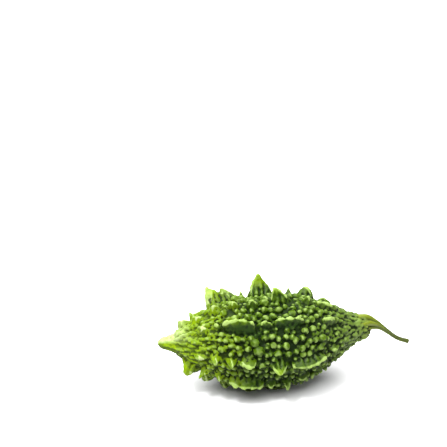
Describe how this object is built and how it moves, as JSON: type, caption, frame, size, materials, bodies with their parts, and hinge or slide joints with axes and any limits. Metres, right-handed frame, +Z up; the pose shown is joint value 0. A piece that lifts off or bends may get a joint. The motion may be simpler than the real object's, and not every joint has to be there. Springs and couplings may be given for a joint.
{
  "type": "bitter gourd",
  "caption": "Fresh bitter gourd lying on its side: a spindle-shaped green fruit covered in rows of pointed crests and round warts, with a short bent stem.",
  "frame": {"origin": "on the surface the gourd lies on, at the middle of its whole length and width", "axes": "+Z up from the resting surface, +X along the fruit from its blossom tip to its stem"},
  "size_m": [0.1268, 0.0576, 0.0528],
  "materials": {
    "gourd_skin": "waxy, fairly glossy, yellow-green at the blossom tip and dark green towards the stem, with paler warts and crests",
    "gourd_stem": "satin, ribbed lengthwise, olive green"
  },
  "bodies": {
    "root": {"fruit": "gourd_skin", "stem": "gourd_stem"}
  },
  "joints": []
}
